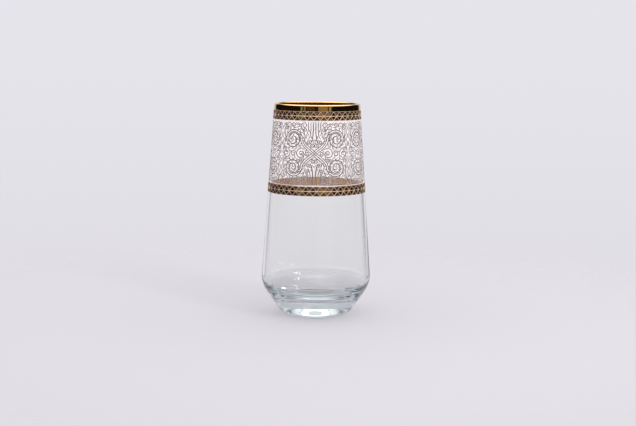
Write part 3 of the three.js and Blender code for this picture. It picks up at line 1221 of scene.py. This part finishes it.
    def build(self) -> None:
        """Builds every repeat's ridges and the border lines as one piece."""
        dark = np.array([0.0, 1.0, 1.0, 0.0])
        pale = dark / 2
        wide = len(dark)
        across = np.arange(wide)
        points, faces, etched, count = [], [], [], 0
        strokes = self.strokes()
        for repeat in range(self.repeats):
            turn = math.radians(self.turned_degrees) + repeat * TURN / self.repeats
            for stroke in strokes:
                ridge = self.ridge(stroke, turn)
                rows = len(ridge)
                caps = np.stack([count + across[::-1], count + (rows - 1) * wide + across])
                points.append(ridge.reshape(-1, 3))
                etched.append(np.tile(dark, rows))
                faces += [grid_faces(rows, wide, count), caps]
                count += rows * wide
        inset = self.border_width / 2
        for level in (self.bottom + inset, self.top - inset):
            ring = self.border(level)
            points.append(ring.reshape(-1, 3))
            etched.append(np.repeat(pale, self.border_columns))
            faces.append(grid_faces(wide, self.border_columns, count, rows_close=True))
            count += wide * self.border_columns
        frieze = mesh_object("etched_scrolls", np.concatenate(points), faces, self.sharp_degrees)
        set_attribute(frieze, "etched", np.concatenate(etched))
        frieze.data.materials.append(EtchedLine().material())
        seat_piece(frieze, self.node)


# The studio


@dataclass(frozen=True)
class Patch:
    """A patch of the room between two bearings from the camera's side, in degrees."""

    first: float
    last: float
    colour: Colour


@dataclass(frozen=True)
class PatchRow:
    """Patches of the room between the same two heights, with soft sides and ends, in degrees."""

    low: float
    high: float
    soft_sides: float
    soft_ends: float
    patches: tuple[Patch, ...]

    def over(
        self, graph: Graph, view: object, azimuth: bpy.types.NodeSocket, height: bpy.types.NodeSocket
    ) -> bpy.types.NodeSocket:
        """Lays the patches over a view of the room, the first one lowest.

        Args:
            graph: The world's graph.
            view: The colour seen without them.
            azimuth: The bearing looked at.
            height: The height looked at.

        Returns:
            The colour seen with them.
        """
        level = graph.band(height, self.low, self.high, self.soft_ends)
        for patch in self.patches:
            sides = graph.band(azimuth, patch.first, patch.last, self.soft_sides)
            view = graph.blend(graph.math("MULTIPLY", sides, level), view, patch.colour)
        return view


@dataclass
class Studio:
    """The pale floor, the soft light, the room that gold and glass show, and the camera.

    Places are in metres. Bearings from the camera's side and heights over the horizon are in degrees.
    """

    # The floor, which fades into the backdrop with distance, and sooner in mirrors
    floor_colour: Colour = (0.785, 0.76, 0.81)
    # Painted shadow: the darker floor that glass shows close by, and the distances over which it fades
    under: Colour = (0.66, 0.64, 0.68)
    under_shadow_fall: Span = (0.06, 0.12)
    shadow_lift: float = 0.42
    through_lift: float = 0.05
    floor_light: float = 0.93
    floor_roughness: float = 0.9
    floor_sheen: float = 0.1
    floor_rings: tuple[float, ...] = (0.02, 0.1, 0.3, 0.6, 1.0)
    floor_columns: int = 96
    fade: Span = (0.14, 0.42)
    mirror_fade: Span = (0.09, 0.18)

    # The light from all round, and the backdrop
    ambient: Colour = (0.89, 0.89, 0.90)
    backdrop: Colour = (0.785, 0.775, 0.83)
    near_backdrop: Colour = (0.74, 0.72, 0.77)
    backdrop_rise: Span = (-16.0, 2.0)

    # The room in polished gold: dark, with lit patches low down, a light overhead and the backdrop behind
    room: Colour = (0.006, 0.0055, 0.006)
    room_patches: PatchRow = PatchRow(
        low=-12.0,
        high=7.0,
        soft_sides=2.0,
        soft_ends=3.0,
        patches=(
            Patch(-44.0, -39.0, (0.26, 0.28, 0.25)),
            Patch(-35.0, -30.5, (0.24, 0.25, 0.22)),
            Patch(-27.0, -6.0, (0.07, 0.045, 0.04)),
            Patch(3.0, 28.0, (0.30, 0.26, 0.20)),
            Patch(31.5, 37.0, (0.42, 0.39, 0.33)),
        ),
    )
    overhead: Colour = (3.2, 3.15, 3.1)
    overhead_rise: Span = (26.0, 46.0)
    behind_rise: Span = (138.0, 152.0)
    dusk_levels: Span = (-9.4, -7.2)
    dusk_turn: Span = (-1.0, 1.0)
    dusk_rise: Span = (-1.5, 1.5)

    # The room through glass: pale behind, dimmer higher up, dark in front, with cards and window panes
    through_low: Colour = (0.755, 0.73, 0.765)
    through: Colour = (0.85, 0.83, 0.86)
    through_rise: Span = (-15.0, -2.0)
    through_high: Colour = (0.59, 0.57, 0.60)
    high_rise: Span = (4.0, 11.0)
    through_dark: Colour = (0.05, 0.055, 0.065)
    dark_rise: Span = (14.0, 22.0)
    dark_aside: Span = (146.0, 156.0)
    dark_shares: Span = (0.35, 1.0)
    cards: PatchRow = PatchRow(
        low=-7.5,
        high=5.0,
        soft_sides=5.0,
        soft_ends=3.0,
        patches=(Patch(128.0, 156.0, (0.50, 0.50, 0.52)), Patch(-156.0, -142.0, (0.62, 0.62, 0.64))),
    )
    through_front: Colour = (0.055, 0.075, 0.095)
    front_heights: Span = (-4.0, 58.0)
    front_soft: float = 6.0
    front_fall: Span = (108.0, 124.0)
    panes: PatchRow = PatchRow(
        low=26.0,
        high=46.0,
        soft_sides=1.0,
        soft_ends=2.0,
        patches=(Patch(44.0, 49.0, WINDOW), Patch(51.0, 58.0, WINDOW)),
    )
    zenith: Colour = (0.80, 0.81, 0.81)
    zenith_rise: Span = (52.0, 62.0)

    # The lamp and the camera
    key_size: Span = (0.22, 0.3)
    key_energy: float = 3.2
    key_place: Place = (0.74, -0.8, 0.6)
    key_aim: Place = (0.0, 0.0, 0.06)
    camera_place: Place = (0.00118, -0.8734, 0.1853)
    camera_pitch: float = 7.467
    camera_roll: float = 0.54
    focal_pixels: float = 1261.2
    frame_pixels: int = 636
    sensor: float = 36.0
    bounces: int = 32

    def camera(self) -> None:
        """Places the camera where the photograph was taken from."""
        data = bpy.data.cameras.new("camera")
        data.sensor_width = self.sensor
        data.lens = self.focal_pixels / self.frame_pixels * self.sensor
        made = bpy.data.objects.new("camera", data)
        bpy.context.scene.collection.objects.link(made)
        tilt = Matrix.Rotation(math.radians(90 - self.camera_pitch), 4, "X")
        roll = Matrix.Rotation(math.radians(self.camera_roll), 4, "Z")
        made.matrix_world = Matrix.Translation(self.camera_place) @ tilt @ roll
        bpy.context.scene.camera = made

    def floor(self) -> None:
        """Lays a round pale floor about the glass."""
        columns = self.floor_columns
        profile = np.stack([self.floor_rings, np.zeros(len(self.floor_rings))], axis=1)
        rings = spun(profile, columns).reshape(-1, 3)
        points = np.concatenate([rings, np.zeros((1, 3))])
        outer = grid_faces(len(profile), columns)[:, ::-1]
        floor = mesh_object("floor", points, [outer, fan_faces(len(rings), 0, columns)])
        floor.data.materials.append(self.floor_material())

    def floor_material(self) -> bpy.types.Material:
        """Builds the floor's finish.

        A share of its light, the lift, doesn't come from the lamps, so that the shadow on it stays soft.
        Glass shows the floor close by darker, as a painted shadow. Alpha fades it out with distance, sooner
        in mirrors.

        Returns:
            The material.
        """
        material, graph, shader = new_material("floor")
        path = graph.node("LightPath").outputs
        sight = graph.math("MAXIMUM", path["Is Camera Ray"], path["Is Glossy Ray"])
        lift_through = graph.math("MULTIPLY", path["Is Transmission Ray"], self.through_lift)
        lift = graph.math("MAXIMUM", graph.math("MULTIPLY", sight, self.shadow_lift), lift_through)
        place = graph.node("TexCoord").outputs["Object"]
        reach = graph.node("VectorMath", {0: place}, operation="LENGTH").outputs["Value"]
        # Painted shadow: seen through glass, the floor close to the glass is darker
        close = graph.ramp(reach, *self.under_shadow_fall, 1.0, 0.0)
        painted_shadow_share = graph.math("MULTIPLY", path["Is Transmission Ray"], close)
        pale = graph.blend(painted_shadow_share, self.floor_colour, self.under)
        graph.put(shader.inputs["Base Color"], graph.blend(lift, pale, BLACK))
        graph.put(shader.inputs["Emission Color"], self.floor_colour)
        graph.put(shader.inputs["Emission Strength"], graph.math("MULTIPLY", lift, self.floor_light))
        graph.put(shader.inputs["Roughness"], self.floor_roughness)
        graph.put(shader.inputs["Specular IOR Level"], self.floor_sheen)
        starts, ends = zip(self.fade, self.mirror_fade)
        fade_from = graph.ramp(path["Is Glossy Ray"], 0.0, 1.0, *starts)
        fade_to = graph.ramp(path["Is Glossy Ray"], 0.0, 1.0, *ends)
        graph.put(shader.inputs["Alpha"], graph.ramp(reach, fade_from, fade_to, 1.0, 0.0))
        return material

    def mirrored(
        self, graph: Graph, azimuth: bpy.types.NodeSocket, height: bpy.types.NodeSocket
    ) -> bpy.types.NodeSocket:
        """Works out what polished gold mirrors.

        Args:
            graph: The world's graph.
            azimuth: The bearing looked at.
            height: The height looked at.

        Returns:
            The colour seen.
        """
        view = self.room_patches.over(graph, self.room, azimuth, height)
        view = graph.blend(graph.ramp(height, *self.overhead_rise), view, self.overhead)
        edge = graph.ramp(azimuth, *self.dusk_turn, *self.dusk_levels)
        over_edge = graph.ramp(graph.math("SUBTRACT", height, edge), *self.dusk_rise)
        aside = graph.ramp(graph.math("ABSOLUTE", azimuth), *self.behind_rise)
        return graph.blend(graph.math("MULTIPLY", aside, over_edge), view, self.backdrop)

    def seen_through(
        self, graph: Graph, azimuth: bpy.types.NodeSocket, height: bpy.types.NodeSocket
    ) -> bpy.types.NodeSocket:
        """Works out what is seen through glass.

        Args:
            graph: The world's graph.
            azimuth: The bearing looked at.
            height: The height looked at.

        Returns:
            The colour seen.
        """
        aside = graph.math("ABSOLUTE", azimuth)
        view = graph.blend(graph.ramp(height, *self.through_rise), self.through_low, self.through)
        view = graph.blend(graph.ramp(height, *self.high_rise), view, self.through_high)
        behind = graph.ramp(aside, *self.dark_aside, *self.dark_shares)
        dark = graph.math("MULTIPLY", graph.ramp(height, *self.dark_rise), behind)
        view = graph.blend(dark, view, self.through_dark)
        view = self.cards.over(graph, view, azimuth, height)
        level = graph.band(height, *self.front_heights, self.front_soft)
        front = graph.math("MULTIPLY", level, graph.ramp(aside, *self.front_fall, 1.0, 0.0))
        view = graph.blend(front, view, self.through_front)
        view = self.panes.over(graph, view, azimuth, height)
        return graph.blend(graph.ramp(height, *self.zenith_rise), view, self.zenith)

    def world(self) -> None:
        """Lights the scene evenly, and shows the camera the backdrop, and gold and glass their own rooms."""
        world = bpy.data.worlds.new("studio")
        world.use_nodes = True
        bpy.context.scene.world = world
        graph = Graph(world.node_tree)
        way = graph.node("SeparateXYZ", {0: graph.node("TexCoord").outputs["Generated"]}).outputs
        across = graph.math("ARCTAN2", way["X"], graph.math("MULTIPLY", way["Y"], -1.0))
        azimuth = graph.math("DEGREES", across)
        height = graph.math("DEGREES", graph.math("ARCSINE", way["Z"]))
        backdrop = graph.blend(graph.ramp(height, *self.backdrop_rise), self.near_backdrop, self.backdrop)
        path = graph.node("LightPath").outputs
        diffuse = graph.math("MINIMUM", path["Diffuse Depth"], 1.0)
        seen = graph.blend(path["Is Glossy Ray"], self.ambient, self.mirrored(graph, azimuth, height))
        seen = graph.blend(path["Is Transmission Ray"], seen, self.seen_through(graph, azimuth, height))
        seen = graph.blend(diffuse, seen, self.ambient)
        seen = graph.blend(path["Is Camera Ray"], seen, backdrop)
        graph.put(world.node_tree.nodes["Background"].inputs["Color"], seen)

    def key_light(self) -> None:
        """Hangs a soft light to the right of the camera, above the glass."""
        data = bpy.data.lights.new("key", "AREA")
        data.shape = "RECTANGLE"
        data.size, data.size_y = self.key_size
        data.energy = self.key_energy
        made = bpy.data.objects.new("key", data)
        bpy.context.scene.collection.objects.link(made)
        made.visible_glossy = made.visible_transmission = False
        place = Vector(self.key_place)
        turned = (place - Vector(self.key_aim)).to_track_quat("Z", "Y").to_matrix().to_4x4()
        made.matrix_world = Matrix.Translation(place) @ turned

    def build(self) -> None:
        """Sets up the whole studio."""
        self.camera()
        self.floor()
        self.world()
        self.key_light()
        scene = bpy.context.scene
        scene.view_settings.view_transform = "Standard"
        for limit in ("max_bounces", "glossy_bounces", "transmission_bounces"):
            setattr(scene.cycles, limit, self.bounces)


def main() -> None:
    """Builds the studio and every piece of the tumbler."""
    logging.basicConfig(level=logging.INFO, format="%(message)s")
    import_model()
    Studio().build()
    glass = TumblerGlass()
    glass.build()
    GildedLip(glass).build()
    gold = LatticeGold().material()
    back = GiltBack().material()
    LatticeBand(glass, "upper_gold_band", "upper_lattice_band", cells=42).build(gold, back)
    LatticeBand(glass, "lower_gold_band", "lower_lattice_band", cells=44).build(gold, back)
    ScrollFrieze(glass).build()


if __name__ == "__main__":
    main()
